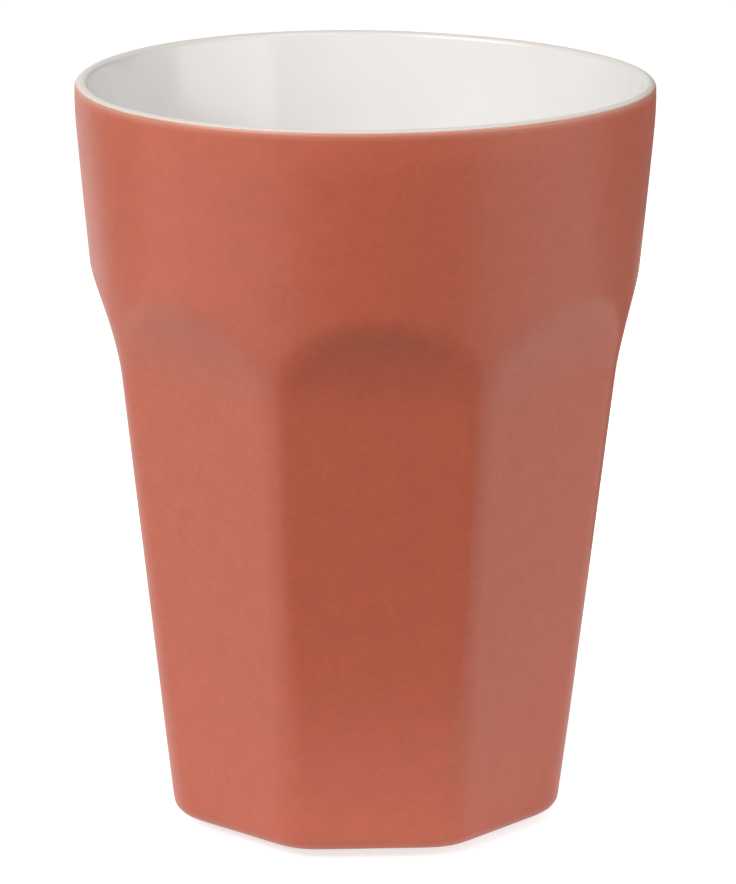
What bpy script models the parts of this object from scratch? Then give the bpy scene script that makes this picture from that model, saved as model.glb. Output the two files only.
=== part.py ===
"""Handleless espresso cup: a fired clay body, faceted below and round above, with three glaze coats on it.

Units are metres and +Z is up. The origin is under the cup's axis, at the level that the foot ring
stands on, and the middle of a flat faces +X, +Y, -X and -Y.
"""

import math

import bmesh
import bpy

# The finished cup's outline
HEIGHT = 0.078
RIM_RADIUS = 0.030
WALL_TAPER = 0.114  # how much wider the round wall gets for each unit of height
WALL_BOW = 0.0007  # how far the round wall swells past a straight line
LIP_WALL = 0.0018  # thickness of the wall under its round lip
BASE_FILLET = 0.0016

# The flats cut into the lower body
FACET_COUNT = 8
FLAT_DISTANCE = 0.0201  # from the axis to a flat, at the body's underside
FLAT_TAPER = 0.108
RIDGE_RADIUS = 0.0038
STRAIGHT_HEIGHT = 0.0485  # where a flat begins to curl out towards the round wall
CURL_RADIUS = 0.0225
CURL_SHARE = 0.95  # how much of the curl's radius a flat may climb, which keeps it short of upright
ARCH_BLEND = 0.0007  # how softly a flat's arched top meets the round wall

# The cavity
SIDE_WALL = 0.0030  # thickness behind the middle of a flat
FLOOR_THICKNESS = 0.0040
FLOOR_CORNER = 0.0060
WALL_BEND = 0.012  # height over which the cavity's wall turns from the flats' slope to the lip's

# The foot
FOOT_RADIUS = 0.0155
FOOT_WIDTH = 0.0020
FOOT_HEIGHT = 0.0010
FOOT_ROUND = 0.0004
RECESS_DEPTH = 0.0018  # from the standing level up to the glaze inside the foot ring

# The glaze coats
GLAZE = 0.0003
GLAZE_GAP = 0.0003  # the clearance that stands for the bond between a coat and the clay
GLAZE_MEETING = math.radians(48)  # where the outer coat meets the inner, up the lip's round
WIPED_MARGIN = 0.0006  # bare clay left beside the foot ring

# How finely the surfaces are divided
ARC_STEPS = 4
STRAIGHT_STEPS = 3
ARCH_STEPS = 9
UPPER_STEPS = 3
ROUND_STEPS = 48
MERGE_DISTANCE = 0.00001
SHARP_EDGE = math.radians(40)

HALF_FACET = math.pi / FACET_COUNT
LIP_RADIUS = LIP_WALL / 2
LIP_LEVEL = HEIGHT - LIP_RADIUS
LIP_CENTRE = RIM_RADIUS - LIP_RADIUS
CLAY_INSET = GLAZE + GLAZE_GAP
FLOOR_LEVEL = RECESS_DEPTH + FLOOR_THICKNESS


def smooth_min(first, second, blend):
    """The lesser of two distances, rounded over where they come within blend of each other."""
    near = max(blend - abs(first - second), 0)
    return min(first, second) - near * near / (4 * blend)


def spread(low, high, steps):
    """Even steps from low up to, but not at, high."""
    return [low + (high - low) * step / steps for step in range(steps)]


def round_wall(height):
    """Radius of the round wall: a cone that swells slightly between the foot and the lip."""
    down = (LIP_LEVEL - height) / (LIP_LEVEL - FOOT_HEIGHT)
    return RIM_RADIUS - WALL_TAPER * (LIP_LEVEL - height) + 4 * WALL_BOW * down * (1 - down)


def flat_distance(height):
    """Distance from the axis to the middle of a flat, which curls out above its straight length."""
    above = min(max(height - STRAIGHT_HEIGHT, 0), CURL_SHARE * CURL_RADIUS)
    curl = CURL_RADIUS - math.sqrt(CURL_RADIUS**2 - above**2)
    return FLAT_DISTANCE + FLAT_TAPER * (height - FOOT_HEIGHT) + curl


def ridged(turn, apothem, ridge):
    """Radius of a regular polygon with rounded ridges, at a turn measured from the middle of a flat."""
    corner = (apothem - ridge) / math.cos(HALF_FACET)
    if abs(turn) <= math.atan((apothem - ridge) * math.tan(HALF_FACET) / apothem):
        return apothem / math.cos(turn)
    aside = HALF_FACET - abs(turn)
    return corner * math.cos(aside) + math.sqrt(ridge**2 - (corner * math.sin(aside)) ** 2)


def outer_radius(turn, height, inset=0.0):
    """Radius of the outer surface moved inwards by inset: a cone that flats are cut into."""
    within = (turn + HALF_FACET) % (2 * HALF_FACET) - HALF_FACET
    ridge = max(RIDGE_RADIUS - inset, MERGE_DISTANCE)
    cut = ridged(within, flat_distance(height) - inset, ridge)
    return smooth_min(cut, round_wall(height) - inset, ARCH_BLEND)


def arch_top():
    """Height at which the middle of a flat has faded wholly into the round wall, found by halving."""
    low, high = STRAIGHT_HEIGHT, LIP_LEVEL
    while high - low > MERGE_DISTANCE:
        middle = (low + high) / 2
        if flat_distance(middle) > round_wall(middle) + ARCH_BLEND:
            high = middle
        else:
            low = middle
    return high


def wall_levels():
    """Heights of the outer wall's rings: few on the straight flats, close together on the arches."""
    fillet_top = FOOT_HEIGHT + BASE_FILLET
    fade = arch_top()
    levels = spread(fillet_top, STRAIGHT_HEIGHT, STRAIGHT_STEPS)
    levels += spread(STRAIGHT_HEIGHT, fade, ARCH_STEPS)
    return levels + spread(fade, LIP_LEVEL, UPPER_STEPS)


def columns():
    """Turns of a ring's points, with two close pairs round each ridge and the rest over the flat."""
    straight = FLAT_DISTANCE + FLAT_TAPER * (STRAIGHT_HEIGHT - FOOT_HEIGHT)
    edge = math.atan((straight - RIDGE_RADIUS) * math.tan(HALF_FACET) / straight)
    shoulder = (edge + HALF_FACET) / 2
    across = [-HALF_FACET, -shoulder, -edge, -edge / 2, 0, edge / 2, edge, shoulder]
    return [2 * HALF_FACET * facet + turn for facet in range(FACET_COUNT) for turn in across]


def cavity_wall(height):
    """Radius of the cavity: two slopes, one behind the flats and one up to the lip, joined by a bend."""
    floor_radius = outer_radius(0, FLOOR_LEVEL) - SIDE_WALL
    bend_radius = outer_radius(0, STRAIGHT_HEIGHT) - SIDE_WALL
    lower = (bend_radius - floor_radius) / (STRAIGHT_HEIGHT - FLOOR_LEVEL)
    upper = (RIM_RADIUS - LIP_WALL - bend_radius) / (LIP_LEVEL - STRAIGHT_HEIGHT)
    past = height - STRAIGHT_HEIGHT
    bent = min(max(past / WALL_BEND + 0.5, 0), 1)
    if bent == 1:
        return bend_radius + upper * past
    return bend_radius + lower * past + (upper - lower) * WALL_BEND * bent**2 / 2


def lean(height):
    """Angle of the cavity's wall from upright."""
    rise = MERGE_DISTANCE
    return math.atan((cavity_wall(height + rise) - cavity_wall(height - rise)) / (2 * rise))


def cavity_profile():
    """The cavity's surface from its floor's middle to the lip, as radius, height and angle of the
    direction that points into the clay."""
    profile = [(0.0, FLOOR_LEVEL, -math.pi / 2)]
    corner_level = FLOOR_LEVEL + FLOOR_CORNER
    tilt = lean(corner_level)
    corner_radius = cavity_wall(corner_level) - FLOOR_CORNER / math.cos(tilt)
    for step in range(ARC_STEPS + 1):
        angle = -math.pi / 2 + (math.pi / 2 - tilt) * step / ARC_STEPS
        radius = corner_radius + FLOOR_CORNER * math.cos(angle)
        profile.append((radius, corner_level + FLOOR_CORNER * math.sin(angle), angle))
    bend_start = STRAIGHT_HEIGHT - WALL_BEND / 2
    for height in spread(bend_start, bend_start + WALL_BEND, ARC_STEPS):
        profile.append((cavity_wall(height), height, -lean(height)))
    profile.append((cavity_wall(bend_start + WALL_BEND), bend_start + WALL_BEND, -lean(LIP_LEVEL)))
    return profile


def lip_arc(start, end):
    """The lip's round from one angle to another, in the same form as the cavity's profile."""
    arc = []
    for step in range(ARC_STEPS + 1):
        angle = start + (end - start) * step / ARC_STEPS
        radius = LIP_CENTRE + LIP_RADIUS * math.cos(angle)
        arc.append((radius, LIP_LEVEL + LIP_RADIUS * math.sin(angle), angle + math.pi))
    return arc


def moved_in(profile, depth):
    """The radius and height of a profile's points, moved into the clay by depth."""
    return [
        (radius + depth * math.cos(angle), height + depth * math.sin(angle))
        for radius, height, angle in profile
    ]


def put_ring(mesh, radius_at, height):
    """Adds one ring of points, whose radius may depend on the turn."""
    ring = []
    for turn in columns():
        radius = radius_at(turn)
        ring.append(mesh.verts.new((radius * math.cos(turn), radius * math.sin(turn), height)))
    return ring


def put_round_ring(mesh, radius, height):
    return put_ring(mesh, lambda turn: radius, height)


def put_faceted_ring(mesh, height, inset):
    return put_ring(mesh, lambda turn: outer_radius(turn, height, inset), height)


def bridge(mesh, rings):
    """Joins each ring to the next with faces. A ring of one point closes its end."""
    for lower, upper in zip(rings, rings[1:]):
        count = max(len(lower), len(upper))
        for index in range(count):
            after = (index + 1) % count
            corners = [lower[index], lower[after]] if len(lower) > 1 else [lower[0]]
            corners += [upper[after], upper[index]] if len(upper) > 1 else [upper[0]]
            mesh.faces.new(corners)


def base_fillet_rings(mesh, inset):
    """The rounded edge between the body's underside and its flats, from below."""
    radius = max(BASE_FILLET - inset, MERGE_DISTANCE)
    rings = []
    for step in range(ARC_STEPS):
        angle = math.pi / 2 * step / ARC_STEPS
        height = FOOT_HEIGHT + inset + radius * (1 - math.cos(angle))
        rings.append(put_faceted_ring(mesh, height, inset + radius * (1 - math.sin(angle))))
    return rings


def outside_rings(mesh, inset):
    """The rings of the whole outside at one depth, from the underside's edge up to the lip's round."""
    walls = [put_faceted_ring(mesh, height, inset) for height in wall_levels()]
    return base_fillet_rings(mesh, inset) + walls


def foot_rings(mesh):
    """The underside of the clay from its middle outwards: recess, foot ring and the seat of the coat."""
    inner = FOOT_RADIUS - FOOT_WIDTH
    recess = RECESS_DEPTH + CLAY_INSET
    profile = [
        (inner, recess),
        (inner, FOOT_ROUND),
        (inner + FOOT_ROUND, 0),
        (FOOT_RADIUS - FOOT_ROUND, 0),
        (FOOT_RADIUS, FOOT_ROUND),
        (FOOT_RADIUS, FOOT_HEIGHT + CLAY_INSET),
    ]
    middle = [mesh.verts.new((0, 0, recess))]
    return [middle] + [put_round_ring(mesh, radius, height) for radius, height in profile]


def make_clay_body():
    """One shell: from the recess under the foot, up the faceted outside, over the lip and down
    the round cavity to the middle of its floor."""
    mesh = bmesh.new()
    inside = cavity_profile() + lip_arc(math.pi - lean(LIP_LEVEL), 0)
    cavity = moved_in(inside, CLAY_INSET)
    rings = foot_rings(mesh) + outside_rings(mesh, CLAY_INSET)
    rings += [put_round_ring(mesh, radius, height) for radius, height in reversed(cavity[1:])]
    rings.append([mesh.verts.new((0, 0, cavity[0][1]))])
    bridge(mesh, rings)
    return add_object("clay_body", mesh, fired_clay())


def make_outer_glaze():
    """The matt coat over the outside, from a wiped line beside the foot ring to the lip's round."""
    mesh = bmesh.new()
    loops = []
    edge_gap = GLAZE_GAP / 2 / LIP_RADIUS
    lip = lip_arc(0, GLAZE_MEETING - edge_gap)
    for inset in (0.0, GLAZE):
        underside = put_round_ring(mesh, FOOT_RADIUS + WIPED_MARGIN, FOOT_HEIGHT + inset)
        over_lip = [put_round_ring(mesh, radius, height) for radius, height in moved_in(lip, inset)]
        loops.append([underside] + outside_rings(mesh, inset) + over_lip)
    front, back = loops
    bridge(mesh, front + back[::-1] + front[:1])
    return add_object("outer_glaze", mesh, matt_terracotta())


def make_inner_glaze():
    """The glossy coat over the cavity and the lip, turned about the axis."""
    edge_gap = GLAZE_GAP / 2 / LIP_RADIUS
    lip = lip_arc(math.pi - lean(LIP_LEVEL), GLAZE_MEETING + edge_gap)
    profile = cavity_profile() + lip
    return turned("inner_glaze", moved_in(profile, GLAZE), moved_in(profile, 0), gloss_white())


def make_base_glaze():
    """The coat inside the foot ring: a disc that turns down along the ring to a wiped edge."""
    reach = FOOT_RADIUS - FOOT_WIDTH - GLAZE_GAP
    under = [
        (0, RECESS_DEPTH),
        (reach - 2 * GLAZE, RECESS_DEPTH),
        (reach - GLAZE, RECESS_DEPTH - GLAZE),
        (reach - GLAZE, WIPED_MARGIN),
    ]
    over = [
        (0, RECESS_DEPTH + GLAZE),
        (reach - GLAZE, RECESS_DEPTH + GLAZE),
        (reach, RECESS_DEPTH),
        (reach, WIPED_MARGIN),
    ]
    return turned("base_glaze", under, over, matt_terracotta())


def turned(name, below, above, material):
    """A closed shell turned about the axis from two profiles that run outwards from it."""
    mesh = bmesh.new()
    outline = [mesh.verts.new((radius, 0, height)) for radius, height in above + below[::-1]]
    for first, second in zip(outline, outline[1:]):
        mesh.edges.new((first, second))
    shell = add_object(name, mesh, material)
    screw = shell.modifiers.new("turn", "SCREW")
    screw.steps = screw.render_steps = ROUND_STEPS
    screw.use_merge_vertices = True
    screw.merge_threshold = MERGE_DISTANCE
    return shell


def add_object(name, mesh, material):
    """An object of its own for one sub-part, shaded smooth except across its real edges."""
    data = bpy.data.meshes.new(name)
    mesh.to_mesh(data)
    mesh.free()
    data.materials.append(material)
    data.shade_smooth()
    data.set_sharp_from_angle(angle=SHARP_EDGE)
    sub_part = bpy.data.objects.new(name, data)
    bpy.context.scene.collection.objects.link(sub_part)
    return sub_part


def surface(name, colour, roughness):
    """A plain ceramic surface; the colour is linear red, green and blue."""
    material = bpy.data.materials.get(name) or bpy.data.materials.new(name)
    material.use_nodes = True
    shader = material.node_tree.nodes["Principled BSDF"]
    shader.inputs["Base Color"].default_value = (*colour, 1)
    shader.inputs["Roughness"].default_value = roughness
    shader.inputs["Metallic"].default_value = 0
    return material


def fired_clay():
    return surface("fired_clay", (0.68, 0.60, 0.50), 0.85)


def matt_terracotta():
    return surface("matt_terracotta", (0.50, 0.13, 0.08), 0.48)


def gloss_white():
    return surface("gloss_white", (0.83, 0.80, 0.77), 0.12)


def clear_scene():
    for leftover in list(bpy.data.objects):
        bpy.data.objects.remove(leftover)


def main():
    clear_scene()
    cup = bpy.data.objects.new("espresso_cup", None)
    bpy.context.scene.collection.objects.link(cup)
    for sub_part in (make_clay_body(), make_outer_glaze(), make_inner_glaze(), make_base_glaze()):
        sub_part.parent = cup


main()
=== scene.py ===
"""The looks of a handleless espresso cup: its clay and its three glaze coats, at a fine grain.

Units are metres and +Z is up. The origin is under the cup's axis, at the level that the foot stands
on. The middle of a flat faces +X, +Y, -X and -Y, and the photograph looks along +Y.
"""

import math
from dataclasses import dataclass, fields

import bpy
from mathutils import Matrix, Vector


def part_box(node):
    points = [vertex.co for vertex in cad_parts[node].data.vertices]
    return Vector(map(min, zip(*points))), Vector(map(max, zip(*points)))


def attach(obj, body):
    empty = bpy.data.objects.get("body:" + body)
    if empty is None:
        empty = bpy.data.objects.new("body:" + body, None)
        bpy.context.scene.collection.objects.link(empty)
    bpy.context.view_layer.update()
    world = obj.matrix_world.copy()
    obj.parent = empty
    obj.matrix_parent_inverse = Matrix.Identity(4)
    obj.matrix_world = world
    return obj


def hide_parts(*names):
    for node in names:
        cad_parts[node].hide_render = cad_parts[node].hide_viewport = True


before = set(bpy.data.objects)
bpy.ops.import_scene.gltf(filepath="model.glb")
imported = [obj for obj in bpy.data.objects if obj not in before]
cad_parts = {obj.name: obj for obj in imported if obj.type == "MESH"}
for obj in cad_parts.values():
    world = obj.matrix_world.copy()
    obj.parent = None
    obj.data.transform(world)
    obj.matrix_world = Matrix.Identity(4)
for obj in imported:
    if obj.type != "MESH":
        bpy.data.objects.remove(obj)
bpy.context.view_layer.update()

# The finished cup's outline
HEIGHT = 0.0779
RIM_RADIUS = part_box("outer_glaze")[1].x
WALL_TAPER = 0.114  # how much wider the round wall gets for each unit of height
WALL_BOW = 0.0007  # how far the round wall swells past a straight line
LIP_WALL = 0.0013
LIP_DRAW = 0.0002  # how far the lip is drawn in from the wall's line
LIP_DRAW_HEIGHT = 0.004
BASE_FILLET = 0.0016

# The flats cut into the lower body
FLATS = 8
FLAT_DISTANCE = 0.0201  # from the axis to a flat, at the body's underside
FLAT_TAPER = 0.108
RIDGE_RADIUS = 0.0038
STRAIGHT_HEIGHT = 0.0485  # where a flat begins to curl out towards the round wall
CURL_RADIUS = 0.0225
CURL_SHARE = 0.95
ARCH_BLEND = 0.0007  # how softly a flat's arched top meets the round wall

# The cavity
SIDE_WALL = 0.0030
FLOOR_THICKNESS = 0.0040
FLOOR_CORNER = 0.0060
WALL_BEND = 0.012

# The foot
FOOT_RADIUS = 0.0155
FOOT_WIDTH = 0.0020
FOOT_HEIGHT = 0.0010
FOOT_ROUND = 0.0004
RECESS_DEPTH = 0.0018

# The glaze coats
GLAZE = 0.0003
GLAZE_MEETING = math.radians(37)  # where the outer coat meets the inner, up the lip's round
WIPED_MARGIN = 0.0006  # bare clay left beside the foot ring
EDGE_ROUND = 0.00006  # the melted corner along a coat's edge at the lip
EDGE_GAP = 0.000012  # half the hair line between the two coats
FOOT_BEAD = 0.00018  # the rounded bead that a coat ends in beside the foot ring
BOND = 0.00002  # clearance between a coat's back and the clay
MEETING_WANDER = math.radians(3.0)  # how far the meeting line strays along the lip's round
SURFACE_SWELL = 0.00003  # the fired glaze's slow waves
SWELL_SIZE = 0.011
RIM_WARP = 0.000142  # how far the kiln has pulled the rim up and down, as a shallow saddle
WARP_START = 0.041  # height that the saddle fades in from
WARP_TURN = 0.539  # where the saddle's crest stands, from -Y towards +X
MERGE_DISTANCE = 0.000001

# How finely the surfaces are divided
COLUMNS_PER_FLAT = 48
CLAY_COLUMNS_PER_FLAT = 24
STRAIGHT_RUN = 0.046  # each stretch of the wall gets its run over the spacing as its count of rows
CURL_RUN = 0.034
UPPER_RUN = 0.017
CORNER_STEPS = 5
MELTED_STEPS = 4  # round a coat's melted corner at the lip
BASE_FLOOR_STEPS = 24
BASE_EDGE_STEPS = 8
HIDDEN_FLOOR_STEPS = 6
CAVITY_WALL_STEPS = 4  # steps up the cavity's wall for each one across its floor
FAR = 1.0  # stands for the distance of a place that isn't near the lip's edge

# The glazes' randomness
SEED = 7.0
WANDER_SIZE = 0.4  # one stray of the meeting line, on a ring whose radius is 1
EDGE_WAVE = 0.00006  # how unevenly the colours along a coat's edge run

# The studio
DOME_LEVEL = 0.125
FLOOR_HALF = 1.5
FLOOR_GREY = 0.8
FLOOR_SHOWN = 0.72  # the floor's own white by the cup, added for the camera to the light that falls on it
FLOOR_MIRRORED = 0.5
FLOOR_FADE = (0.3, 1.0)  # distances from the cup between which the floor turns fully white to the camera
CARD_GREY = 0.02
CARD_LEVEL = 0.0002
DULL = 0.9  # the roughness of the floor and the cards
CARDS = {  # each card's level in reflections, and its outline
    "front_card": (0.555, [(-0.26, -0.45, 0), (0.40, -0.45, 0), (0.0367, -0.045, 0), (-0.0275, -0.045, 0)]),
    "far_card": (0.19, [(0.080, 0.046, 0), (0.52, 0.30, 0), (0.30, 0.52, 0), (0.046, 0.080, 0)]),
    "side_card": (0.19, [(0.18, 0.03, 0), (0.62, 0.103, 0), (0.52, 0.30, 0), (0.155, 0.0895, 0)]),
    "left_card": (0.38, [(-0.438, 0.438, 0), (-0.611, 0.108, 0), (-0.167, 0.0295, 0), (-0.123, 0.117, 0)]),
    "standing_card": (
        0.19,
        [(0.265, 0.141, 0), (0.0624, 0.2934, 0), (0.0624, 0.2934, 0.16), (0.265, 0.141, 0.16)],
    ),
}
LAMPS = {  # azimuth and elevation in degrees, distance, width, height and power
    "left_softbox": (-66, 36, 0.80, 0.50, 0.36, 1.35),
    "high_left_softbox": (-50, 45, 0.70, 0.50, 0.50, 3.75),
    "high_front_softbox": (-4, 38, 0.70, 0.44, 0.40, 0.20),
    "high_right_softbox": (45, 50, 0.70, 0.50, 0.50, 1.45),
    "right_softbox": (63, 14, 0.65, 0.56, 0.30, 1.15),
}

# The photograph's view
CAMERA_DISTANCE = 0.47289  # level distance from the cup's axis
CAMERA_HEIGHT = 0.16174
CAMERA_PITCH = 0.25333  # how far the camera looks down, in radians
CAMERA_AROUND = -0.055  # how far it stands round from the middle of a flat
CAMERA_PAN = 0.00081
CAMERA_ROLL = 0.00333
CAMERA_REACH = (0.01, 10)  # nearest and farthest distance that the camera sees
FOCAL_PIXELS = 4669.5
IMAGE_HEIGHT = 884
SENSOR_WIDTH = 36

LIP_RADIUS = LIP_WALL / 2
LIP_LEVEL = HEIGHT - LIP_RADIUS
LIP_CENTRE = RIM_RADIUS - LIP_DRAW - LIP_RADIUS
FLOOR_LEVEL = RECESS_DEPTH + FLOOR_THICKNESS

TREE_SIZES = {
    "Flats": FLATS,
    "Columns per flat": COLUMNS_PER_FLAT,
    "Flat distance": FLAT_DISTANCE,
    "Flat taper": FLAT_TAPER,
    "Ridge radius": RIDGE_RADIUS,
    "Straight height": STRAIGHT_HEIGHT,
    "Curl radius": CURL_RADIUS,
    "Curl share": CURL_SHARE,
    "Arch blend": ARCH_BLEND,
    "Foot height": FOOT_HEIGHT,
    "Rim radius": RIM_RADIUS,
    "Wall taper": WALL_TAPER,
    "Wall bow": WALL_BOW,
    "Lip level": LIP_LEVEL,
    "Lip radius": LIP_RADIUS,
    "Lip draw": LIP_DRAW,
    "Lip draw height": LIP_DRAW_HEIGHT,
    "Meeting wander": MEETING_WANDER,
    "Swell": SURFACE_SWELL,
    "Swell size": SWELL_SIZE,
    "Rim warp": RIM_WARP,
    "Warp start": WARP_START,
    "Warp turn": WARP_TURN,
    "Seed": SEED,
}


@dataclass
class Row:
    """One row of a shell round the axis. Its radius is its own, the flats' or the lip's round."""

    radius: float = 0.0
    height: float = 0.0
    depth: float = 0.0  # how far the row lies under the finished surface
    flatted: float = 0.0  # 1 where the flats shape the row, 0 where it is round
    lip: float = 0.0  # 1 on the lip's round
    angle: float = 0.0  # up the lip's round, from straight outwards
    surface: float = 0.0  # 1 on a face that shows, 0 on one that lies against the clay
    from_edge: float = FAR  # along the surface from the coat's edge at the lip


@dataclass
class Fineness:
    """How closely a layer's rows stand: the spacing up its wall, and the steps of each other stretch."""

    spacing: float = 0.0
    fillet: int = 0
    underside: int = 0
    lip: int = 0
    cavity: int = 0


OUTER_FRONT = Fineness(spacing=0.00115, fillet=10, underside=8, lip=20)
OUTER_BACK = Fineness(spacing=0.0024, fillet=5, underside=4, lip=8)
INNER_FRONT = Fineness(lip=26, cavity=16)
INNER_BACK = Fineness(lip=8, cavity=8)
CLAY = Fineness(spacing=0.0020, fillet=6, underside=6, lip=20, cavity=10)


class Measure:
    """A number worked out at every point of a tree: arithmetic on it adds Math nodes."""

    def __init__(self, tree, socket):
        self.tree = tree
        self.socket = socket

    def worked(self, operation, *others):
        node = self.tree.nodes.new("ShaderNodeMath")
        node.operation = operation
        for slot, value in zip(node.inputs, (self, *others)):
            connect(self.tree, slot, value)
        return Measure(self.tree, node.outputs[0])

    def __add__(self, other):
        return self.worked("ADD", other)

    def __sub__(self, other):
        return self.worked("SUBTRACT", other)

    def __rsub__(self, other):
        return self.worked("MULTIPLY", -1) + other

    def __mul__(self, other):
        return self.worked("MULTIPLY", other)

    def __truediv__(self, other):
        return self.worked("DIVIDE", other)

    def __rtruediv__(self, other):
        return self.worked("POWER", -1) * other

    def __abs__(self):
        return self.worked("ABSOLUTE")

    def least(self, other):
        return self.worked("MINIMUM", other)

    def most(self, other):
        return self.worked("MAXIMUM", other)

    def cos(self):
        return self.worked("COSINE")

    def sin(self):
        return self.worked("SINE")

    def root(self):
        return self.worked("SQRT")

    def blended(self, other, share):
        """This number where share is 0 and the other where it is 1."""
        return self + (other - self) * share


def connect(tree, slot, value):
    """Feeds a socket with a number, another socket or a measure."""
    if isinstance(value, Measure):
        value = value.socket
    if isinstance(value, bpy.types.NodeSocket):
        tree.links.new(value, slot)
    else:
        slot.default_value = value


def add_node(tree, kind, **inputs):
    """A node with its inputs fed by name, where an underscore stands for a space."""
    node = tree.nodes.new(kind)
    for name, value in inputs.items():
        connect(tree, node.inputs[name.replace("_", " ")], value)
    return node


def smooth_min(first, second, blend):
    """The lesser of two distances, rounded over where they come within blend of each other."""
    near = (blend - abs(first - second)).most(0)
    return first.least(second) - near * near / (blend * 4)


def round_wall(sizes, height):
    """Radius of the round wall: a cone that swells slightly and is drawn in just under the lip."""
    below = sizes["Lip level"] - height
    down = below / (sizes["Lip level"] - sizes["Foot height"])
    swell = sizes["Wall bow"] * 4 * down * (1 - down)
    near_lip = (1 - below / sizes["Lip draw height"]).most(0)
    drawn = sizes["Lip draw"] * near_lip * near_lip
    return sizes["Rim radius"] - sizes["Wall taper"] * below + swell - drawn


def flat_distance(sizes, height):
    """Distance from the axis to the middle of a flat, which curls out above its straight length."""
    curl = sizes["Curl radius"]
    above = (height - sizes["Straight height"]).most(0).least(curl * sizes["Curl share"])
    straight = sizes["Flat distance"] + sizes["Flat taper"] * (height - sizes["Foot height"])
    return straight + curl - (curl * curl - above * above).root()


def ridged(turn, half, apothem, ridge):
    """Radius of a regular polygon with rounded ridges, at a turn measured from the middle of a flat."""
    corner = (apothem - ridge) / half.cos()
    edge = ((apothem - ridge) * half.worked("TANGENT") / apothem).worked("ARCTANGENT")
    aside = half - abs(turn)
    across = corner * aside.sin()
    over_ridge = corner * aside.cos() + (ridge * ridge - across * across).root()
    return (apothem / turn.cos()).blended(over_ridge, abs(turn).worked("GREATER_THAN", edge))


def flatted_radius(sizes, turn, half, height, depth):
    """Radius of the outer surface at a depth under it: a cone that flats are cut into."""
    ridge = (sizes["Ridge radius"] - depth).most(MERGE_DISTANCE)
    cut = ridged(turn, half, flat_distance(sizes, height) - depth, ridge)
    return smooth_min(cut, round_wall(sizes, height) - depth, sizes["Arch blend"])


def named_measure(tree, name):
    """What a row stored under a name, at every point."""
    named = tree.nodes.new("GeometryNodeInputNamedAttribute")
    named.inputs["Name"].default_value = name
    return Measure(tree, named.outputs["Attribute"])


def add_one_sector(tree, sizes, profile, half):
    """The shell over one flat: a grid whose columns are turns and whose rows are the profile's."""
    domain = add_node(tree, "GeometryNodeAttributeDomainSize", Geometry=profile)
    rows = Measure(tree, domain.outputs["Point Count"])
    columns = sizes["Columns per flat"]
    grid = add_node(tree, "GeometryNodeMeshGrid", Vertices_X=columns + 1, Vertices_Y=rows)
    index = Measure(tree, tree.nodes.new("GeometryNodeInputIndex").outputs[0])
    column = (index / rows).worked("FLOOR")
    row = index - column * rows
    shape = {}
    geometry = grid.outputs["Mesh"]
    for field in fields(Row):
        taken = add_node(tree, "GeometryNodeSampleIndex", Geometry=profile, Index=row)
        connect(tree, taken.inputs["Value"], named_measure(tree, field.name))
        shape[field.name] = Measure(tree, taken.outputs["Value"])
        kept = add_node(tree, "GeometryNodeStoreNamedAttribute", Geometry=geometry, Name=field.name)
        connect(tree, kept.inputs["Value"], shape[field.name])
        geometry = kept.outputs["Geometry"]
    turn = (column / columns * 2 - 1) * half
    flatted = flatted_radius(sizes, turn, half, shape["height"], shape["depth"])
    radius = shape["radius"].blended(flatted, shape["flatted"])
    place = add_node(tree, "ShaderNodeCombineXYZ", X=radius * turn.cos(), Y=radius * turn.sin())
    connect(tree, place.inputs["Z"], shape["height"])
    placed = add_node(tree, "GeometryNodeSetPosition", Geometry=geometry, Position=place.outputs[0])
    return placed.outputs[0]


def add_all_sectors(tree, sizes, sector, half):
    """The sector repeated round the axis and joined into one closed shell."""
    points = add_node(tree, "GeometryNodePoints", Count=sizes["Flats"])
    index = Measure(tree, tree.nodes.new("GeometryNodeInputIndex").outputs[0])
    turn = add_node(tree, "ShaderNodeCombineXYZ", Z=index * half * 2)
    copies = add_node(tree, "GeometryNodeInstanceOnPoints", Points=points.outputs[0])
    tree.links.new(sector, copies.inputs["Instance"])
    tree.links.new(turn.outputs[0], copies.inputs["Rotation"])
    real = add_node(tree, "GeometryNodeRealizeInstances", Geometry=copies.outputs[0])
    joined = add_node(tree, "GeometryNodeMergeByDistance", Geometry=real.outputs[0])
    joined.inputs["Distance"].default_value = MERGE_DISTANCE
    return joined.outputs[0]


def slow_noise(tree, place, size, seed):
    """A smooth number between about -0.5 and 0.5 that changes over the given size."""
    noise = tree.nodes.new("ShaderNodeTexNoise")
    noise.noise_dimensions = "4D"
    noise.inputs["Detail"].default_value = 1.0
    connect(tree, noise.inputs["Vector"], place)
    connect(tree, noise.inputs["W"], seed)
    connect(tree, noise.inputs["Scale"], 1 / size)
    return Measure(tree, noise.outputs[0]) - 0.5


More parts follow.
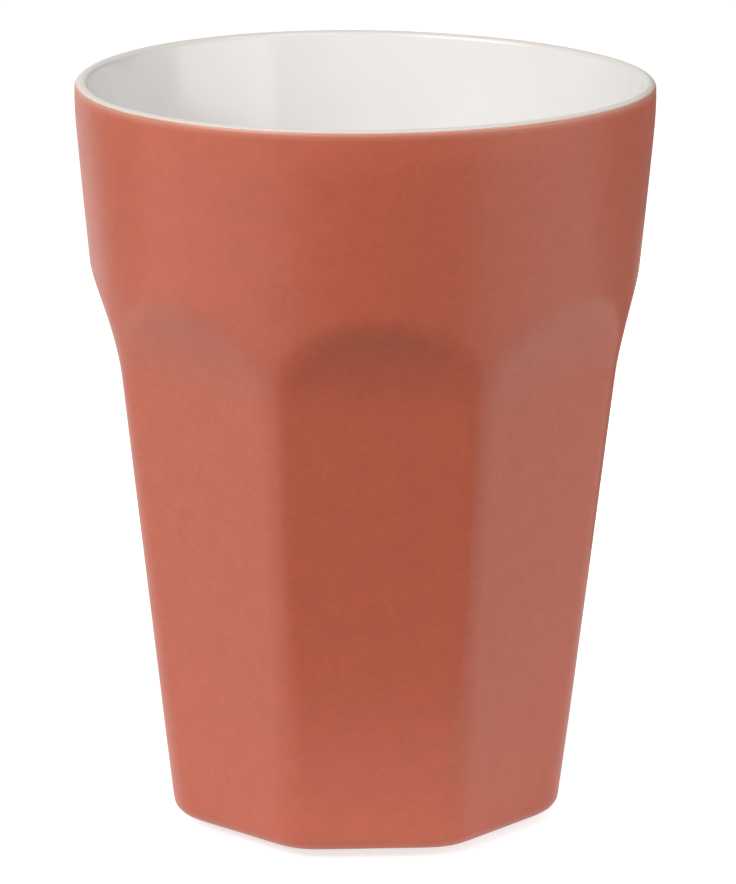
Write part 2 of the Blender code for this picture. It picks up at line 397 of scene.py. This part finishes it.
def add_wander(tree, sizes, shell):
    """Lets the line where two coats meet stray a little up and down the lip's round."""
    position = tree.nodes.new("GeometryNodeInputPosition").outputs[0]
    apart = add_node(tree, "ShaderNodeSeparateXYZ", Vector=position)
    x, y = Measure(tree, apart.outputs["X"]), Measure(tree, apart.outputs["Y"])
    radius = (x * x + y * y).root()
    angle = named_measure(tree, "angle")
    arm = sizes["Lip radius"] - named_measure(tree, "depth")
    ring = add_node(tree, "ShaderNodeCombineXYZ", X=x / radius, Y=y / radius)
    stray = slow_noise(tree, ring.outputs[0], WANDER_SIZE, sizes["Seed"])
    near_meeting = (abs(angle - GLAZE_MEETING) / GLAZE_MEETING * math.pi / 2).least(math.pi / 2).cos()
    moved = angle + stray * sizes["Meeting wander"] * 2 * near_meeting
    outwards = (moved.cos() - angle.cos()) * arm / radius
    offset = add_node(tree, "ShaderNodeCombineXYZ", X=x * outwards, Y=y * outwards)
    connect(tree, offset.inputs["Z"], (moved.sin() - angle.sin()) * arm)
    strayed = add_node(tree, "GeometryNodeSetPosition", Geometry=shell, Offset=offset.outputs[0])
    connect(tree, strayed.inputs["Selection"], named_measure(tree, "lip"))
    return strayed.outputs[0]


def add_swell(tree, sizes, shell):
    """Raises and lowers the faces that show by the fired glaze's slow waves."""
    position = tree.nodes.new("GeometryNodeInputPosition").outputs[0]
    wave = slow_noise(tree, position, sizes["Swell size"], sizes["Seed"] + 1)
    height = wave * sizes["Swell"] * 2 * named_measure(tree, "surface")
    normal = tree.nodes.new("GeometryNodeInputNormal").outputs[0]
    offset = tree.nodes.new("ShaderNodeVectorMath")
    offset.operation = "SCALE"
    tree.links.new(normal, offset.inputs[0])
    connect(tree, offset.inputs["Scale"], height)
    swollen = add_node(tree, "GeometryNodeSetPosition", Geometry=shell, Offset=offset.outputs[0])
    return swollen.outputs[0]


def add_rim_warp(tree, sizes, shell):
    """Lifts the rim on two sides and lowers it on the other two, as a fired rim often is."""
    position = tree.nodes.new("GeometryNodeInputPosition").outputs[0]
    apart = add_node(tree, "ShaderNodeSeparateXYZ", Vector=position)
    x, y, z = (Measure(tree, socket) for socket in apart.outputs)
    share = ((z - sizes["Warp start"]) / (sizes["Lip level"] - sizes["Warp start"])).most(0)
    turn = x.worked("ARCTAN2", y * -1) - sizes["Warp turn"]
    lift = sizes["Rim warp"] * share * share * (turn * 2).cos()
    offset = add_node(tree, "ShaderNodeCombineXYZ", Z=lift)
    warped = add_node(tree, "GeometryNodeSetPosition", Geometry=shell, Offset=offset.outputs[0])
    return warped.outputs[0]


def shell_tree():
    """The tree that turns a profile's rows into a shell round the axis, with flats cut into it."""
    tree = bpy.data.node_groups.new("faceted shell", "GeometryNodeTree")
    sockets = tree.interface
    sockets.new_socket("Profile", in_out="INPUT", socket_type="NodeSocketGeometry")
    for name, value in TREE_SIZES.items():
        kind = "NodeSocketInt" if isinstance(value, int) else "NodeSocketFloat"
        sockets.new_socket(name, in_out="INPUT", socket_type=kind)
    sockets.new_socket("Material", in_out="INPUT", socket_type="NodeSocketMaterial")
    sockets.new_socket("Shell", in_out="OUTPUT", socket_type="NodeSocketGeometry")
    given = tree.nodes.new("NodeGroupInput")
    sizes = {name: Measure(tree, given.outputs[name]) for name in TREE_SIZES}
    half = math.pi / sizes["Flats"]
    sector = add_one_sector(tree, sizes, given.outputs["Profile"], half)
    shell = add_all_sectors(tree, sizes, sector, half)
    shell = add_swell(tree, sizes, add_wander(tree, sizes, shell))
    shell = add_rim_warp(tree, sizes, shell)
    smooth = add_node(tree, "GeometryNodeSetShadeSmooth", Geometry=shell)
    real = add_node(tree, "GeometryNodeRealizeInstances", Geometry=smooth.outputs[0])
    dressed = add_node(tree, "GeometryNodeSetMaterial", Geometry=real.outputs[0])
    tree.links.new(given.outputs["Material"], dressed.inputs["Material"])
    result = tree.nodes.new("NodeGroupOutput")
    tree.links.new(dressed.outputs[0], result.inputs["Shell"])
    return tree


def profile_mesh(name, rows):
    """The rows as points of a mesh, each with its numbers as attributes."""
    mesh = bpy.data.meshes.new(name)
    links = [(index, index + 1) for index in range(len(rows) - 1)]
    mesh.from_pydata([(row.radius, 0, row.height) for row in rows], links, [])
    for field in fields(Row):
        attribute = mesh.attributes.new(field.name, "FLOAT", "POINT")
        attribute.data.foreach_set("value", [getattr(row, field.name) for row in rows])
    return mesh


def shell(name, tree, rows, material, **changed):
    """A plain mesh piece made by the tree from rows that run up its outside. Rows that don't end on
    the axis are closed into a ring. A size in the tree can be changed by name."""
    closed = rows if rows[0].radius == 0 and not rows[0].flatted else rows + rows[:1]
    piece = bpy.data.objects.new(name, profile_mesh(name, closed))
    bpy.context.scene.collection.objects.link(piece)
    modifier = piece.modifiers.new("faceted shell", "NODES")
    modifier.node_group = tree
    given = {**TREE_SIZES, **changed, "Material": material}
    for item in tree.interface.items_tree:
        if item.in_out == "INPUT" and item.name in given:
            modifier[item.identifier] = given[item.name]
    graph = bpy.context.evaluated_depsgraph_get()
    made = bpy.data.meshes.new_from_object(piece.evaluated_get(graph), depsgraph=graph)
    piece.modifiers.remove(modifier)
    piece.data = made
    made.name = name
    for field in fields(Row):
        if field.name != "from_edge" and field.name in made.attributes:
            made.attributes.remove(made.attributes[field.name])
    return piece


def steps(low, high, count):
    """Numbers from low to high in even steps, both ends included."""
    return [low + (high - low) * step / count for step in range(count + 1)]


def wall_heights(spacing):
    """Heights of the wall's rows, closer together where the flats curl out."""
    curl_end = STRAIGHT_HEIGHT + CURL_RADIUS / 2
    straight = steps(FOOT_HEIGHT + BASE_FILLET, STRAIGHT_HEIGHT, round(STRAIGHT_RUN / spacing))
    curled = steps(STRAIGHT_HEIGHT, curl_end, round(CURL_RUN / spacing))
    upper = steps(curl_end, LIP_LEVEL, round(UPPER_RUN / spacing))
    return straight[:-1] + curled[:-1] + upper[:-1]


def outside_rows(depth, fineness, surface):
    """Rows of the outside at one depth, from the base fillet's foot up to the lip's round."""
    rows = []
    fillet = max(BASE_FILLET - depth, MERGE_DISTANCE)
    for angle in steps(0, math.pi / 2, fineness.fillet)[:-1]:
        height = FOOT_HEIGHT + depth + fillet * (1 - math.cos(angle))
        inwards = depth + fillet * (1 - math.sin(angle))
        rows.append(Row(height=height, depth=inwards, flatted=1, surface=surface))
    edge_level = LIP_LEVEL + GLAZE_MEETING * LIP_RADIUS
    for height in wall_heights(fineness.spacing):
        away = edge_level - height
        rows.append(Row(height=height, depth=depth, flatted=1, surface=surface, from_edge=away))
    return rows


def lip_row(angle, depth, surface=0.0, from_edge=FAR):
    """A row on the lip's round, at an angle up from straight outwards and a depth under the surface."""
    arm = LIP_RADIUS - depth
    radius = LIP_CENTRE + arm * math.cos(angle)
    height = LIP_LEVEL + arm * math.sin(angle)
    return Row(radius, height, depth, lip=1, angle=angle, surface=surface, from_edge=from_edge)


def lip_rows(start, end, depth, count, surface):
    """Rows along the lip's round, which know how far they are from the coats' meeting line."""
    rows = []
    for angle in steps(start, end, count):
        away = abs(angle - GLAZE_MEETING) * LIP_RADIUS
        rows.append(lip_row(angle, depth, surface, away))
    return rows


def coat_edge(side):
    """The melted edge of a coat at the lip: over its corner and down to the clay. Side is 1 for the
    coat that comes up from outside, and -1 for the one that comes over from the cavity."""
    rows = []
    for around in steps(0, math.pi / 2, MELTED_STEPS)[1:]:
        back = EDGE_GAP + EDGE_ROUND * (1 - math.sin(around))
        angle = GLAZE_MEETING - side * back / LIP_RADIUS
        rows.append(lip_row(angle, EDGE_ROUND * (1 - math.cos(around)), from_edge=0.0))
    rows.append(lip_row(GLAZE_MEETING - side * EDGE_GAP / LIP_RADIUS, GLAZE, from_edge=0.0))
    return rows


def cavity_slopes():
    """Radius of the cavity behind the flats, where its wall bends, and its two slopes."""
    floor_radius = FLAT_DISTANCE + FLAT_TAPER * (FLOOR_LEVEL - FOOT_HEIGHT) - SIDE_WALL
    bend_radius = FLAT_DISTANCE + FLAT_TAPER * (STRAIGHT_HEIGHT - FOOT_HEIGHT) - SIDE_WALL
    lower = (bend_radius - floor_radius) / (STRAIGHT_HEIGHT - FLOOR_LEVEL)
    upper = (RIM_RADIUS - LIP_DRAW - LIP_WALL - bend_radius) / (LIP_LEVEL - STRAIGHT_HEIGHT)
    return bend_radius, lower, upper


def cavity_wall(height):
    """Radius of the cavity: two slopes, one behind the flats and one up to the lip, joined by a bend."""
    bend_radius, lower, upper = cavity_slopes()
    past = height - STRAIGHT_HEIGHT
    bent = min(max(past / WALL_BEND + 0.5, 0), 1)
    if bent == 1:
        return bend_radius + upper * past
    return bend_radius + lower * past + (upper - lower) * WALL_BEND * bent**2 / 2


def lean(height):
    """Angle of the cavity's wall from upright."""
    rise = MERGE_DISTANCE * 10
    return math.atan((cavity_wall(height + rise) - cavity_wall(height - rise)) / (2 * rise))


def cavity_rows(depth, count, surface):
    """Rows of the cavity at a depth under its surface, from the floor's middle up to the lip."""
    corner_level = FLOOR_LEVEL + FLOOR_CORNER
    tilt = lean(corner_level)
    corner_radius = cavity_wall(corner_level) - FLOOR_CORNER / math.cos(tilt)
    arm = FLOOR_CORNER + depth
    rows = [
        Row(radius, FLOOR_LEVEL - depth, surface=surface)
        for radius in steps(0, corner_radius, count)[:-1]
    ]
    for angle in steps(-math.pi / 2, -tilt, count):
        radius = corner_radius + arm * math.cos(angle)
        rows.append(Row(radius, corner_level + arm * math.sin(angle), surface=surface))
    for height in steps(corner_level, LIP_LEVEL, count * CAVITY_WALL_STEPS)[1:-1]:
        slope = lean(height)
        radius = cavity_wall(height) + depth * math.cos(slope)
        rows.append(Row(radius, height - depth * math.sin(slope), surface=surface))
    return rows


def foot_edge_rows():
    """The outer coat's edge beside the foot ring, a rounded bead from the clay to the underside."""
    rows = []
    start = FOOT_RADIUS + WIPED_MARGIN
    for around in steps(0, math.pi / 2, CORNER_STEPS):
        radius = start + FOOT_BEAD * (1 - math.cos(around))
        height = FOOT_HEIGHT + GLAZE * (1 - math.sin(around))
        rows.append(Row(radius, height))
    return rows


def underside_rows(start, depth, count, surface):
    """Rows from a round edge beside the foot ring out to the flats' base fillet."""
    rows = []
    inwards = max(BASE_FILLET, depth)
    for share in steps(0, 1, count)[1:-1]:
        rows.append(Row(start, FOOT_HEIGHT + depth, inwards, flatted=share, surface=surface))
    return rows


def make_outer_glaze(tree, material):
    """The matt coat over the outside, from its bead beside the foot ring to the lip's round."""
    bead = foot_edge_rows()
    front_end = GLAZE_MEETING - (EDGE_GAP + EDGE_ROUND) / LIP_RADIUS
    back_end = GLAZE_MEETING - EDGE_GAP / LIP_RADIUS
    front = underside_rows(bead[-1].radius, 0, OUTER_FRONT.underside, 1)
    front += outside_rows(0, OUTER_FRONT, 1)
    front += lip_rows(0, front_end, 0, OUTER_FRONT.lip, 1)
    back = underside_rows(bead[0].radius, GLAZE, OUTER_BACK.underside, 0)
    back += outside_rows(GLAZE, OUTER_BACK, 0)
    back += lip_rows(0, back_end, GLAZE, OUTER_BACK.lip, 0)[:-1]
    return shell("matt_outer_glaze", tree, bead + front + coat_edge(1) + back[::-1], material)


def make_inner_glaze(tree, material):
    """The glossy coat over the cavity and the crest of the lip."""
    leaning = math.pi - lean(LIP_LEVEL)
    front_end = GLAZE_MEETING + (EDGE_GAP + EDGE_ROUND) / LIP_RADIUS
    back_end = GLAZE_MEETING + EDGE_GAP / LIP_RADIUS
    front = cavity_rows(0, INNER_FRONT.cavity, 1)
    front += lip_rows(leaning, front_end, 0, INNER_FRONT.lip, 1)
    back = cavity_rows(GLAZE, INNER_BACK.cavity, 0)
    back += lip_rows(leaning, back_end, GLAZE, INNER_BACK.lip, 0)[:-1]
    rows = front + coat_edge(-1) + back[::-1]
    return shell("gloss_inner_glaze", tree, rows[::-1], material)


def rounded_corner(centre, radius, start, end, count=CORNER_STEPS):
    """Points of an arc in the profile's plane, as radius and height."""
    return [
        (centre[0] + radius * math.cos(angle), centre[1] + radius * math.sin(angle))
        for angle in steps(start, end, count)
    ]


def make_base_glaze(tree, material):
    """The coat inside the foot ring: a disc that turns down along the ring to a wiped edge."""
    reach = FOOT_RADIUS - FOOT_WIDTH - BOND
    inner = reach - GLAZE
    down = math.pi / 2
    under = [(radius, RECESS_DEPTH) for radius in steps(0, inner - FOOT_BEAD, BASE_FLOOR_STEPS)[:-1]]
    corner = (inner - FOOT_BEAD, RECESS_DEPTH - FOOT_BEAD)
    under += rounded_corner(corner, FOOT_BEAD, down, 0)
    middle = (inner + GLAZE / 2, WIPED_MARGIN)
    edge = rounded_corner(middle, GLAZE / 2, math.pi, 2 * math.pi, BASE_EDGE_STEPS)
    over = rounded_corner((inner, RECESS_DEPTH), GLAZE, 0, down)
    over += [(radius, RECESS_DEPTH + GLAZE) for radius in steps(inner, 0, HIDDEN_FLOOR_STEPS)[1:]]
    rows = [Row(radius, height, surface=1) for radius, height in under + edge]
    rows += [Row(radius, height) for radius, height in over]
    return shell("matt_base_glaze", tree, rows, material)


def make_clay_body(tree, material):
    """The fired clay under the coats, which shows only at the foot ring and the wiped margins."""
    depth = GLAZE + BOND
    inner = FOOT_RADIUS - FOOT_WIDTH
    recess = RECESS_DEPTH + depth
    seat = FOOT_HEIGHT + depth
    foot = [(radius, recess) for radius in steps(0, inner, HIDDEN_FLOOR_STEPS)]
    foot += rounded_corner((inner + FOOT_ROUND, FOOT_ROUND), FOOT_ROUND, math.pi, 1.5 * math.pi)
    foot += rounded_corner((FOOT_RADIUS - FOOT_ROUND, FOOT_ROUND), FOOT_ROUND, -math.pi / 2, 0)
    foot += [(FOOT_RADIUS, seat - FOOT_ROUND / 2)]
    rows = [Row(radius, height) for radius, height in foot]
    rows += [Row(FOOT_RADIUS + FOOT_ROUND / 2, seat)]
    rows += underside_rows(FOOT_RADIUS + FOOT_ROUND / 2, depth, CLAY.underside, 0)
    rows += outside_rows(depth, CLAY, 0)
    rows += lip_rows(0, math.pi - lean(LIP_LEVEL), depth, CLAY.lip, 0)
    rows += cavity_rows(depth, CLAY.cavity, 0)[::-1]
    columns = {"Columns per flat": CLAY_COLUMNS_PER_FLAT}
    return shell("bare_clay_body", tree, rows, material, **columns)


def group_of(name, numbers, outputs):
    """A shader group with a Place input, number inputs with their usual values, and mask outputs."""
    tree = bpy.data.node_groups.new(name, "ShaderNodeTree")
    tree.interface.new_socket("Place", in_out="INPUT", socket_type="NodeSocketVector")
    for label, value in numbers.items():
        socket = tree.interface.new_socket(label, in_out="INPUT", socket_type="NodeSocketFloat")
        socket.default_value = value
    for label in outputs:
        tree.interface.new_socket(label, in_out="OUTPUT", socket_type="NodeSocketFloat")
    given = tree.nodes.new("NodeGroupInput")
    result = tree.nodes.new("NodeGroupOutput")
    measures = {label: Measure(tree, given.outputs[label]) for label in numbers}
    return tree, given.outputs["Place"], measures, result


def noise_at(tree, place, size, detail=2.0, roughness=0.5, seed=0.0):
    """Noise between about 0 and 1 whose patches have the given size."""
    noise = tree.nodes.new("ShaderNodeTexNoise")
    noise.noise_dimensions = "4D"
    noise.inputs["Detail"].default_value = detail
    noise.inputs["Roughness"].default_value = roughness
    noise.inputs["W"].default_value = seed
    connect(tree, noise.inputs["Vector"], place)
    connect(tree, noise.inputs["Scale"], 1 / size)
    return Measure(tree, noise.outputs[0])


def ramped(tree, value, low, high):
    """0 below low and 1 above high, with a smooth rise between."""
    ramp = tree.nodes.new("ShaderNodeMapRange")
    ramp.interpolation_type = "SMOOTHSTEP"
    connect(tree, ramp.inputs["Value"], value)
    connect(tree, ramp.inputs["From Min"], low)
    connect(tree, ramp.inputs["From Max"], high)
    return Measure(tree, ramp.outputs["Result"])


def mottle_group():
    """Cloudy patches of two sizes, as a glaze has where it lies thicker and thinner."""
    numbers = {"Patch size": 0.004, "Grain size": 0.0006}
    tree, place, given, result = group_of("glaze mottle", numbers, ["Patches", "Grain"])
    patches = noise_at(tree, place, given["Patch size"], detail=3.0, roughness=0.55, seed=3.1)
    grain = noise_at(tree, place, given["Grain size"], detail=2.0, roughness=0.6, seed=8.4)
    connect(tree, result.inputs["Patches"], ramped(tree, patches, low=0.3, high=0.7))
    connect(tree, result.inputs["Grain"], ramped(tree, grain, low=0.25, high=0.75))
    return tree


def speck_group():
    """Small round specks scattered over the surface, of unlike sizes."""
    numbers = {"Spacing": 0.002, "Speck size": 0.0002, "Share": 0.3}
    tree, place, given, result = group_of("specks", numbers, ["Specks"])
    cells = tree.nodes.new("ShaderNodeTexVoronoi")
    connect(tree, cells.inputs["Vector"], place)
    connect(tree, cells.inputs["Scale"], 1 / given["Spacing"])
    apart = tree.nodes.new("ShaderNodeSeparateColor")
    tree.links.new(cells.outputs["Color"], apart.inputs[0])
    chosen = Measure(tree, apart.outputs[0]).worked("LESS_THAN", given["Share"])
    least, core = 0.4, 0.5  # the smallest speck's share of the size, and a speck's solid share
    size = given["Speck size"] * (Measure(tree, apart.outputs[1]) + least)
    away = Measure(tree, cells.outputs["Distance"]) * given["Spacing"]
    round_spot = 1 - ramped(tree, away, size * core, size)
    connect(tree, result.inputs["Specks"], round_spot * chosen)
    return tree


def new_material(name, roughness):
    """A material with its Principled shader, its tree and the place on the piece."""
    material = bpy.data.materials.new(name)
    material.use_nodes = True
    tree = material.node_tree
    shader = tree.nodes["Principled BSDF"]
    shader.inputs["Roughness"].default_value = roughness
    place = tree.nodes.new("ShaderNodeTexCoord").outputs["Object"]
    return material, tree, shader, place


def use_group(tree, group, place, **numbers):
    """A group placed in a material, with its own values."""
    node = tree.nodes.new("ShaderNodeGroup")
    node.node_tree = group
    tree.links.new(place, node.inputs["Place"])
    for name, value in numbers.items():
        node.inputs[name.replace("_", " ")].default_value = value
    return node


def mixed(tree, first, second, share):
    """One colour turning into another by a share; a colour is a socket or three numbers."""
    mix = tree.nodes.new("ShaderNodeMix")
    mix.data_type = "RGBA"
    connect(tree, mix.inputs["Factor"], share)
    for name, colour in (("A", first), ("B", second)):
        filled = (*colour, 1) if isinstance(colour, tuple) else colour
        connect(tree, colour_slot(mix.inputs, name), filled)
    return colour_slot(mix.outputs, "Result")


def colour_slot(slots, name):
    """The colour socket of that name on a Mix node, which has one for each kind of data."""
    return [slot for slot in slots if slot.name == name and slot.type == "RGBA"][0]


def from_the_edge(tree, place, size, seed):
    """Distance from the coat's edge at the lip, made a little uneven."""
    edge = tree.nodes.new("ShaderNodeAttribute")
    edge.attribute_name = "from_edge"
    wave = noise_at(tree, place, size, detail=1.0, seed=seed) * EDGE_WAVE
    return Measure(tree, edge.outputs["Fac"]) + wave


def beside_edge(tree, away, reach, share=1.0):
    """The full share at a coat's edge, fading to nothing. The reach is where the fade starts and ends."""
    return (1 - ramped(tree, away, *reach)) * share


def bumped(tree, shader, height, distance):
    """Feeds the shader's normal with a bump whose height is a share of a distance in metres."""
    bump = tree.nodes.new("ShaderNodeBump")
    bump.inputs["Strength"].default_value = 1.0
    bump.inputs["Distance"].default_value = distance
    connect(tree, bump.inputs["Height"], height)
    tree.links.new(bump.outputs[0], shader.inputs["Normal"])


def matt_terracotta(groups):
    """Matt glaze with a satin sheen: cloudy terracotta, paler along the lip's edge where it thins, with a
    painted highlight of the lip's rounded shoulder in that pale fade.
    """
    material, tree, shader, place = new_material("matt terracotta glaze", 0.36)
    body, deep, pale = (0.525, 0.1132, 0.0567), (0.461, 0.0996, 0.0499), (0.80, 0.50, 0.38)
    brown, fleck, blush_and_highlight = (0.26, 0.075, 0.045), (0.72, 0.34, 0.25), (0.58, 0.245, 0.175)
    patch_tone, grain_tone, tone_shift = 0.45, 0.6, 0.025
    fleck_share, blush_and_highlight_share, line_share = 0.15, 0.7, 0.35
    blush_and_highlight_reach, pale_reach = (0.0001, 0.0010), (0.00003, 0.00013)
    line_start, line_end = (0.00006, 0.00012), (0.00012, 0.00026)
    base_rough, patch_rough, grain_rough = 0.35, -0.02, 0.04
    grain_height, fleck_height = 0.25, 0.4
    mottle = use_group(tree, groups["mottle"], place, Patch_size=0.0022, Grain_size=0.0006)
    patches = Measure(tree, mottle.outputs["Patches"])
    grain = Measure(tree, mottle.outputs["Grain"])
    flecks = use_group(tree, groups["specks"], place, Spacing=0.0026, Speck_size=0.00016, Share=0.35)
    pits = use_group(tree, groups["specks"], place, Spacing=0.0034, Speck_size=0.00014, Share=0.3)
    flecks, pits = Measure(tree, flecks.outputs[0]), Measure(tree, pits.outputs[0])
    tone = patches * patch_tone + grain * grain_tone - tone_shift
    colour = mixed(tree, deep, body, tone)
    colour = mixed(tree, colour, fleck, flecks * fleck_share)
    away = from_the_edge(tree, place, size=0.002, seed=2.2)
    # painted highlight: the pale blush below the lip's edge is partly thinner glaze and partly light caught
    # by the lip's rounded shoulder
    colour = mixed(tree, colour, blush_and_highlight, beside_edge(tree, away, blush_and_highlight_reach, blush_and_highlight_share))
    line = ramped(tree, away, *line_start) - ramped(tree, away, *line_end)
    colour = mixed(tree, colour, brown, line * line_share)
    colour = mixed(tree, colour, pale, beside_edge(tree, away, pale_reach))
    connect(tree, shader.inputs["Base Color"], colour)
    roughness = patches * patch_rough + grain * grain_rough + base_rough
    connect(tree, shader.inputs["Roughness"], roughness)
    height = grain * grain_height - pits + flecks * fleck_height
    bumped(tree, shader, height, distance=0.00003)
    return material


def gloss_white(groups):
    """Glossy warm white glaze, with slow waves in its gloss, darker over the lip's crest: partly the glaze
    thinning to its edge, partly painted shade.
    """
    material, tree, shader, place = new_material("gloss white glaze", 0.09)
    white, cream = (0.782, 0.758, 0.740), (0.766, 0.740, 0.721)
    thin_and_shaded, peach = (0.585, 0.54, 0.50), (0.70, 0.56, 0.47)
    thin_and_shaded_share, peach_share = 0.95, 0.85
    thin_and_shaded_reach, peach_reach = (0.0008, 0.0018), (0.00006, 0.0003)
    base_rough, patch_rough, lip_rough = 0.12, 0.05, 0.2
    mottle = use_group(tree, groups["mottle"], place, Patch_size=0.009, Grain_size=0.0012)
    patches = Measure(tree, mottle.outputs["Patches"])
    away = from_the_edge(tree, place, size=0.003, seed=5.2)
    lip = beside_edge(tree, away, thin_and_shaded_reach)
    colour = mixed(tree, cream, white, patches)
    # painted shade: the crest's darker tint is partly the glaze thinning there and partly shade painted
    # onto the crest
    colour = mixed(tree, colour, thin_and_shaded, lip * thin_and_shaded_share)
    colour = mixed(tree, colour, peach, beside_edge(tree, away, peach_reach, peach_share))
    connect(tree, shader.inputs["Base Color"], colour)
    roughness = patches * patch_rough + lip * lip_rough + base_rough
    connect(tree, shader.inputs["Roughness"], roughness)
    bumped(tree, shader, patches, distance=0.00002)
    return material


def fired_clay(groups):
    """Bare fired clay: pale, dry and grainy, with a few dark specks."""
    material, tree, shader, place = new_material("fired clay", 0.88)
    clay, shade, iron = (0.68, 0.60, 0.50), (0.58, 0.50, 0.41), (0.25, 0.17, 0.12)
    iron_share = 0.7
    mottle = use_group(tree, groups["mottle"], place, Patch_size=0.0018, Grain_size=0.0003)
    specks = use_group(tree, groups["specks"], place, Spacing=0.0016, Speck_size=0.00016, Share=0.25)
    colour = mixed(tree, shade, clay, mottle.outputs["Patches"])
    colour = mixed(tree, colour, iron, Measure(tree, specks.outputs[0]) * iron_share)
    connect(tree, shader.inputs["Base Color"], colour)
    bumped(tree, shader, mottle.outputs["Grain"], distance=0.00005)
    return material


def make_cup():
    """The four pieces, each standing for its CAD node."""
    groups = {"mottle": mottle_group(), "specks": speck_group()}
    terracotta = matt_terracotta(groups)
    tree = shell_tree()
    made = [
        (make_clay_body(tree, fired_clay(groups)), "clay_body", "fired_clay"),
        (make_outer_glaze(tree, terracotta), "outer_glaze", "matt_terracotta"),
        (make_inner_glaze(tree, gloss_white(groups)), "inner_glaze", "gloss_white"),
        (make_base_glaze(tree, terracotta), "base_glaze", "matt_terracotta"),
    ]
    for piece, node, slot in made:
        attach(piece, "root")
        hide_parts(node)


def shown_and_mirrored(tree, shown, mirrored):
    """One level for rays from the camera and another for reflections and rays through glass."""
    path = tree.nodes.new("ShaderNodeLightPath")
    reflected = Measure(tree, path.outputs["Is Glossy Ray"])
    reflected = reflected.most(Measure(tree, path.outputs["Is Transmission Ray"]))
    seen = Measure(tree, path.outputs["Is Camera Ray"])
    return (seen * shown).most(reflected * mirrored)


def stage_material(name, grey):
    """A dull grey material that isn't sampled as a lamp, with its tree, its shader and the place on it."""
    material, tree, shader, place = new_material(name, DULL)
    shader.inputs["Base Color"].default_value = (grey, grey, grey, 1)
    shader.inputs["Specular IOR Level"].default_value = 0.0
    shader.inputs["Emission Color"].default_value = (1, 1, 1, 1)
    material.cycles.emission_sampling = "NONE"
    return material, tree, shader, place


def make_sheet(name, outline, material):
    """A flat four-cornered stage piece."""
    mesh = bpy.data.meshes.new(name)
    mesh.from_pydata(outline, [], [(0, 1, 2, 3)])
    mesh.materials.append(material)
    sheet = bpy.data.objects.new(name, mesh)
    bpy.context.scene.collection.objects.link(sheet)
    return sheet


def make_floor():
    """A pale floor that looks white and keeps the cup's soft shadow."""
    material, tree, shader, place = stage_material("studio floor", FLOOR_GREY)
    reach = tree.nodes.new("ShaderNodeVectorMath")
    reach.operation = "LENGTH"
    tree.links.new(place, reach.inputs[0])
    faded = ramped(tree, Measure(tree, reach.outputs["Value"]), *FLOOR_FADE)
    shown = faded * (1 - FLOOR_SHOWN) + FLOOR_SHOWN
    connect(tree, shader.inputs["Emission Strength"], shown_and_mirrored(tree, shown, FLOOR_MIRRORED))
    half = FLOOR_HALF
    corners = [(-half, -half, 0), (half, -half, 0), (half, half, 0), (-half, half, 0)]
    make_sheet("studio_floor", corners, material)


def make_cards():
    """Dark cards that the camera doesn't see and the glaze reflects: the one in front keeps the front
    flat deep, and the others draw the upper wall's left and right sides."""
    for name, (mirrored, outline) in CARDS.items():
        material, tree, shader, _ = stage_material(name.replace("_", " "), CARD_GREY)
        connect(tree, shader.inputs["Emission Strength"], shown_and_mirrored(tree, 0, mirrored))
        card = make_sheet(name, [(x, y, z + CARD_LEVEL) for x, y, z in outline], material)
        card.visible_camera = False
        card.visible_shadow = False
        card.visible_diffuse = name == "front_card"


def make_world():
    """An even studio dome, white where the camera sees it."""
    world = bpy.data.worlds.new("studio")
    world.use_nodes = True
    tree = world.node_tree
    dome = tree.nodes["Background"]
    dome.inputs["Color"].default_value = (1, 1, 1, 1)
    seen = shown_and_mirrored(tree, 1 - DOME_LEVEL, 1 - DOME_LEVEL)
    connect(tree, dome.inputs["Strength"], seen + DOME_LEVEL)
    world.cycles.sampling_method = "NONE"
    bpy.context.scene.world = world


def make_lamp(name, azimuth, elevation, distance, width, height, power):
    """A soft rectangular lamp aimed at the cup; azimuth 0 is the photographer's side, 90 is +X."""
    lamp = bpy.data.lights.new(name, "AREA")
    lamp.shape = "RECTANGLE"
    lamp.size, lamp.size_y = width, height
    lamp.energy = power
    around, up = math.radians(azimuth), math.radians(elevation)
    away = Vector((math.sin(around) * math.cos(up), -math.cos(around) * math.cos(up), math.sin(up)))
    piece = bpy.data.objects.new(name, lamp)
    piece.location = away * distance + Vector((0, 0, HEIGHT / 2))
    piece.rotation_euler = away.to_track_quat("Z", "Y").to_euler()
    bpy.context.scene.collection.objects.link(piece)


def make_camera():
    """The photograph's view: from in front, slightly to the left and above."""
    camera = bpy.data.cameras.new("photograph_view")
    camera.sensor_width = SENSOR_WIDTH
    camera.lens = FOCAL_PIXELS * SENSOR_WIDTH / IMAGE_HEIGHT
    camera.clip_start, camera.clip_end = CAMERA_REACH
    viewer = bpy.data.objects.new("photograph_view", camera)
    stand = Vector((math.sin(CAMERA_AROUND), -math.cos(CAMERA_AROUND), 0)) * CAMERA_DISTANCE
    turn = Matrix.Rotation(CAMERA_AROUND - CAMERA_PAN, 4, "Z")
    tilt = Matrix.Rotation(math.pi / 2 - CAMERA_PITCH, 4, "X")
    roll = Matrix.Rotation(CAMERA_ROLL, 4, "Z")
    place = Matrix.Translation(stand + Vector((0, 0, CAMERA_HEIGHT)))
    viewer.matrix_world = place @ turn @ tilt @ roll
    bpy.context.scene.collection.objects.link(viewer)
    bpy.context.scene.camera = viewer


def main():
    make_camera()
    make_world()
    make_floor()
    make_cards()
    for name, placing in LAMPS.items():
        make_lamp(name, *placing)
    make_cup()
    bpy.context.scene.view_settings.view_transform = "Standard"


main()
